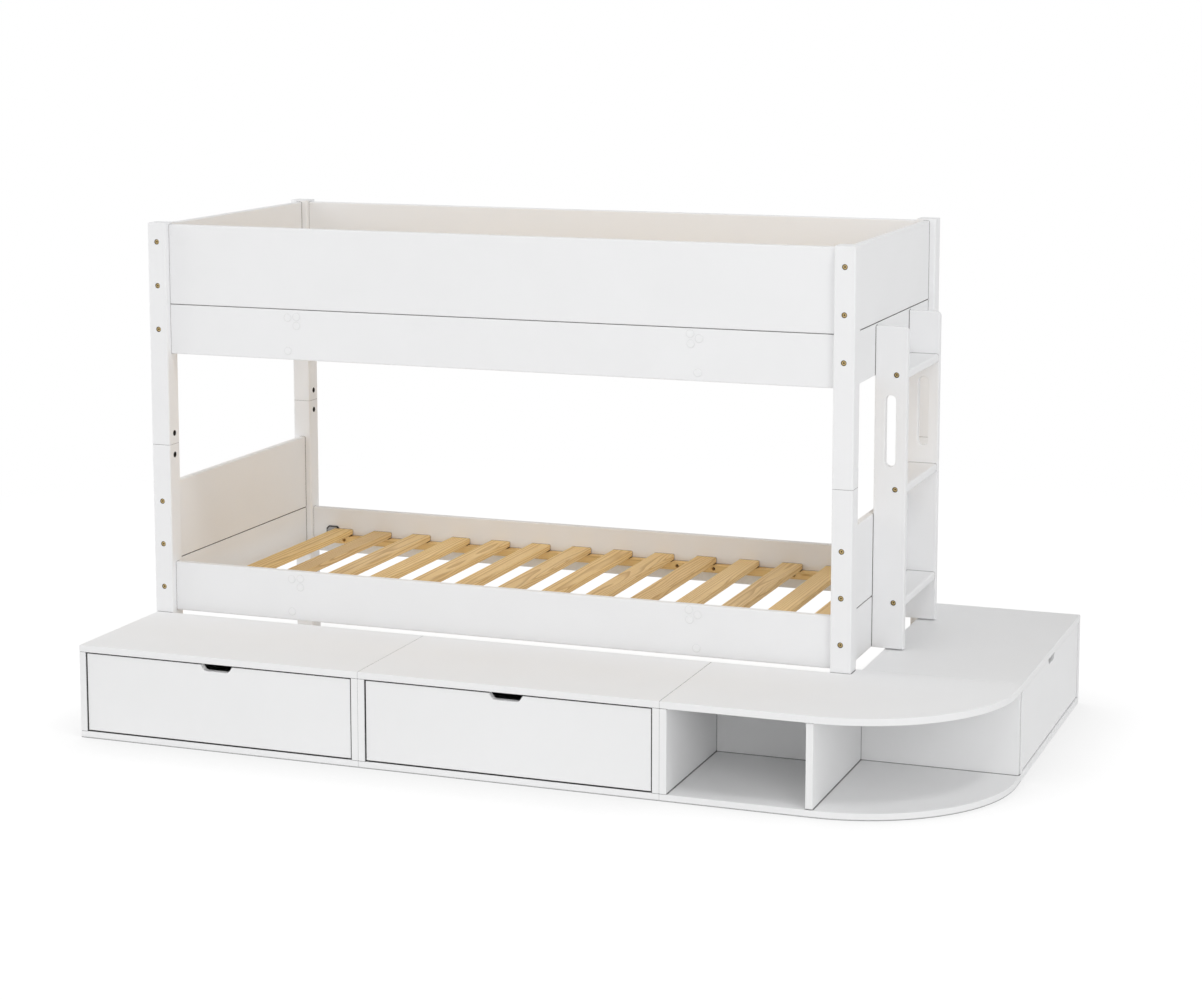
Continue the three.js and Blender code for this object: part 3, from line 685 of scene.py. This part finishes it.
def pine_finish(name, seed):
    """Bare pine: growth rings round a pith below each board, fine fibres, and a tone for each board."""
    material, start = new_finish(name)
    place = start.node("ShaderNodeAttribute", {"attribute_name": "board_place"}, output="Vector")
    number = start.node("ShaderNodeAttribute", {"attribute_name": "board_number"}, output="Fac")
    chance, chance_two = (
        start.node("ShaderNodeTexWhiteNoise", {"noise_dimensions": "1D"}, {"W": number + seed + more})
        for more in (0.0, second_seed))
    apart = start.node("ShaderNodeCombineXYZ", inputs={
        "X": chance * boards_apart[0], "Y": chance_two * boards_apart[1], "Z": number * boards_apart[2]})
    own_place = start.node("ShaderNodeVectorMath", {"operation": "ADD"}, {0: place, 1: apart})
    drift = noise(start, drift_scales, detail=2.0, place=own_place)
    fibres = noise(start, fibre_scales, detail=4.0, place=own_place)
    streaks = noise(start, streak_scales, detail=2.0, place=own_place)
    across, _, up = start.node("ShaderNodeSeparateXYZ", inputs={"Vector": place}).outlets()
    off_x = across - (chance - 0.5) * pith_wander + (drift - 0.5) * ring_bend_across
    off_z = up + pith_depth + chance_two * pith_depth_spread + (drift - 0.5) * ring_bend_up
    distance = start.math("SQRT", off_x * off_x + off_z * off_z)
    phase = start.math("FRACT", distance * (1 / ring_pitch) + drift * ring_unevenness)
    late = phase.between(*ring_rise) * (1 - phase.between(*ring_fall))
    body = fibres.between(*noise_spread).mix(pine_mid, pine_light)
    ringed = (late * ring_strength).mix(body, pine_dark)
    streaked = (streaks.between(*streak_band) * streak_strength).mix(ringed, pine_dark)
    tone = start.node("ShaderNodeHueSaturation", inputs={
        "Hue": chance.ranging(*pine_hue), "Saturation": chance_two.ranging(*pine_saturation),
        "Value": chance.ranging(*pine_value), "Color": streaked})
    # Painted shade near joints and in holes, from the ambient occlusion mask.
    shade(start, free_of_painted_shade(start, pine_painted_shade_reach).mix(pine_painted_shade, tone), fibres, pine_roughness,
          fibres * pine_fibre_share + late * (1 - pine_fibre_share), pine_relief)
    return material


slat_pine = pine_finish("bare_pine_slats", slat_seed)
batten_pine = pine_finish("bare_pine_battens", batten_seed)


def planed_board(recipe):
    """One planed board along Y with rounded arrises, its middle at the start, with its own coordinates."""
    start = recipe.start
    section = start.node("GeometryNodeCurvePrimitiveQuadrilateral", {"mode": "RECTANGLE"}, {
        "Width": recipe.given("Width"), "Height": recipe.given("Thickness")})
    section = start.node("GeometryNodeFilletCurve", {"mode": "POLY"}, {
        "Curve": section, "Radius": recipe.given("Arris"), "Count": arris_steps})
    half = recipe.given("Length") * 0.5
    near = start.node("ShaderNodeCombineXYZ", inputs={"Y": half * -1.0})
    far = start.node("ShaderNodeCombineXYZ", inputs={"Y": half})
    length = start.node("GeometryNodeCurvePrimitiveLine", inputs={"Start": near, "End": far})
    board = start.node("GeometryNodeCurveToMesh", inputs={
        "Curve": length, "Profile Curve": section, "Fill Caps": True})
    board = start.node("GeometryNodeSetShadeSmooth", inputs={"Geometry": board, "Shade Smooth": False})
    return start.node("GeometryNodeStoreNamedAttribute", {"data_type": "FLOAT_VECTOR", "domain": "POINT"}, {
        "Geometry": board, "Name": "board_place", "Value": start.node("GeometryNodeInputPosition")})


def numbered(recipe, boards):
    """The boards, each with its number, from which its finish takes its own pattern."""
    start = recipe.start
    return start.node("GeometryNodeStoreNamedAttribute", {"data_type": "FLOAT", "domain": "INSTANCE"}, {
        "Geometry": boards, "Name": "board_number", "Value": start.node("GeometryNodeInputIndex")})


board_inputs = {
    "Width": float, "Thickness": float, "Length": float, "Arris": float,
    "Count": int, "First": tuple, "Step": tuple}
slat_recipe = Recipe("slats_in_a_row", board_inputs)
slat_recipe.end(numbered(slat_recipe, slat_recipe.in_a_row(planed_board(slat_recipe))))

batten_recipe = Recipe("drilled_battens", {**board_inputs, "Hole Radius": float})
drill = batten_recipe.cylinder(
    batten_hole_sides, batten_recipe.given("Hole Radius"), batten_recipe.given("Width") * 2.0)
drills = batten_recipe.at_points(batten_recipe.turned(drill, (0, math.pi / 2, 0)))
drills = batten_recipe.start.node("GeometryNodeRealizeInstances", inputs={"Geometry": drills})
battens = batten_recipe.in_a_row(batten_recipe.cut(planed_board(batten_recipe), drills))
batten_recipe.end(batten_recipe.turned(numbered(batten_recipe, battens), (0, 0, -math.pi / 2)))

bed_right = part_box("lower_post_front_right")[1][0]
inner_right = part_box("lower_post_front_right")[0][0]
slat_pitch = (bed_right - bed_left - slat_left_margin - slat_right_margin) / (slat_count - 1)
batten_left = bed_left + batten_left_margin
batten_length = inner_right - batten_end_gap - batten_left
batten_middle = batten_left + batten_length / 2

for level in levels:
    front_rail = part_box(f"{level}_side_rail_front")
    rear_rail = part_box(f"{level}_side_rail_rear")
    front_y, rear_y = front_rail[1][1], rear_rail[0][1]
    batten_bottom = front_rail[0][2] + batten_above_rail
    slat_bottom = batten_bottom + batten_height
    slats = slat_recipe.make(f"{level}_slats", slat_pine, {
        "Width": slat_width, "Thickness": slat_thickness, "Length": rear_y - front_y - 2 * slat_end_gap,
        "Arris": slat_arris, "Count": slat_count,
        "First": (bed_left + slat_left_margin, (front_y + rear_y) / 2, slat_bottom + slat_thickness / 2),
        "Step": (slat_pitch, 0, 0)})
    battens = batten_recipe.make(f"{level}_battens", batten_pine, {
        "Width": batten_thickness, "Thickness": batten_height, "Length": batten_length, "Arris": batten_arris,
        "Hole Radius": batten_hole_radius, "Count": batten_count,
        "First": (-(front_y + batten_thickness / 2), batten_middle, batten_bottom + batten_height / 2),
        "Step": (-(rear_y - front_y - batten_thickness), 0, 0)},
        [(0, bed_left + x - batten_middle, 0) for x in batten_hole_places])
    for piece in (slats, battens):
        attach(piece, "root")
        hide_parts(f"{level}_slat_base")


# MATTRESS STOP
# A small pressed steel plate with chamfered ends, on a blackened base leaf, screwed to the rear
# lower rail at the left.

stop_left = 0.100
stop_right = 0.144
stop_top = 0.081
stop_height = 0.030
stop_thickness = 0.003
stop_chamfer = 0.008
stop_edge = 0.0004
stop_rim = 0.0028
stop_bright_proud = 0.0012
steel_light = (0.46, 0.46, 0.47, 1)
steel_dark = (0.30, 0.30, 0.31, 1)
steel_metal = 0.9
steel_roughness = (0.32, 0.47)
steel_relief = 0.00005
steel_scales = (60, 60, 2200)

steel, start = new_finish("brushed_steel")
brushing = noise(start, steel_scales, detail=2.0)
steel_tone = brushing.between(*noise_spread).mix(steel_dark, steel_light)
shade(start, steel_tone, brushing, steel_roughness, brushing, steel_relief, {"Metallic": steel_metal})

rear_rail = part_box("lower_side_rail_rear")
face_y = rear_rail[0][1]


def stop_leaf(name, inset, y0, y1, material):
    """One leaf of the stop: an upright plate, its outline drawn in by the inset, its edges broken."""
    x0, x1 = bed_left + stop_left + inset, bed_left + stop_right - inset
    z1 = rear_rail[0][2] + stop_top - inset
    z0 = z1 - stop_height
    outline = [
        (x0, z0), (x1, z0), (x1, z1 - stop_chamfer), (x1 - stop_chamfer, z1), (x0 + stop_chamfer, z1),
        (x0, z1 - stop_chamfer)]
    build = bmesh.new()
    face = build.faces.new([build.verts.new((x, y0, z)) for x, z in outline])
    made = bmesh.ops.extrude_face_region(build, geom=[face])
    moved = [item for item in made["geom"] if isinstance(item, bmesh.types.BMVert)]
    bmesh.ops.translate(build, verts=moved, vec=(0, y1 - y0, 0))
    bmesh.ops.recalc_face_normals(build, faces=build.faces)
    bmesh.ops.bevel(build, geom=build.edges[:], offset=stop_edge, segments=2, affect="EDGES", profile=0.5)
    leaf = in_scene(name, bpy.data.meshes.new(name))
    build.to_mesh(leaf.data)
    build.free()
    leaf.data.materials.append(material)
    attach(leaf, "root")


stop_leaf("mattress_stop_base", 0, face_y - stop_thickness, face_y, blackened_and_painted_shade)
stop_leaf("mattress_stop_plate", stop_rim, face_y - stop_thickness - stop_bright_proud,
          face_y - stop_thickness, steel)


# LADDER
# Two pine stiles with a long hand slot and three steps between them, lacquered white. The steps
# are held by bolts through the stiles, like those of the posts.

step_bolt_offset = 0.014
step_bolt_below_face = 0.0036

step_numbers = (1, 2, 3)
finish_nodes(upright_lacquer, [f"ladder_stile_{side}" for side in sides])
finish_nodes(crosswise_lacquer, [f"ladder_step_{count}" for count in step_numbers])

for side in sides:
    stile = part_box(f"ladder_stile_{side}")
    face_y, turn = outer_face(stile, side, step_bolt_below_face)
    points = [(middle(stile, 0) + step_bolt_offset, face_y, middle(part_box(f"ladder_step_{count}"), 2))
              for count in step_numbers]
    bolts = bolt_head.make(f"ladder_bolts_{side}", plated_steel, {**bolt_sizes, "Turn": turn}, points)
    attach(bolts, "root")


# PLATFORM
# Drawer units and an open corner unit of faced board, all white: boards screwed together from
# inside, with every arris broken. The drawer fronts are inset, each with a finger notch.

board_white = (0.882, 0.884, 0.888, 1)
board_shade = (0.870, 0.872, 0.875, 1)
board_gloss = 0.22
board_roughness = (0.50, 0.60)
board_relief = 0.00006
board_cloud_scale = 5.0
board_texture_scale = 900.0
# Painted shade: an ambient occlusion mask darkens the board towards a dark tone in joints, gaps and inner
# corners. Drawer 3 and the bay backs take a copy of the material with lighter painted shade.
board_painted_shade_reach = 0.006
board_painted_shade_dark = (0.07, 0.07, 0.07, 1)
side_painted_shade_reach = 0.003
side_painted_shade_soft = (0.50, 0.50, 0.50, 1)


def faced(name, reach, painted_shade_tone):
    """White faced board, with painted shade of this tone within reach of a joint."""
    material, start = new_finish(name)
    clouds = noise(start, [board_cloud_scale] * 3, detail=2.0)
    texture = noise(start, [board_texture_scale] * 3, detail=2.0)
    tone = blended(clouds, texture).between(*noise_spread).mix(board_shade, board_white)
    shade(start, free_of_painted_shade(start, reach).mix(painted_shade_tone, tone), clouds, board_roughness,
          texture, board_relief, {"Specular IOR Level": board_gloss})
    return material


faced_board = faced("white_faced_board", board_painted_shade_reach, board_painted_shade_dark)
faced_board_lighter_shade = faced("white_faced_board_lighter_painted_shade", side_painted_shade_reach, side_painted_shade_soft)
boards = [name for name in nodes if name.startswith(("drawer", "corner"))]
# These boards take the copy with lighter painted shade.
lighter_shade_boards = [name for name in nodes if name.startswith(("drawer_3", "drawer_unit_3")) or "bay_back" in name]
finish_nodes(faced_board_lighter_shade, lighter_shade_boards)
finish_nodes(faced_board, [name for name in boards if name not in lighter_shade_boards])
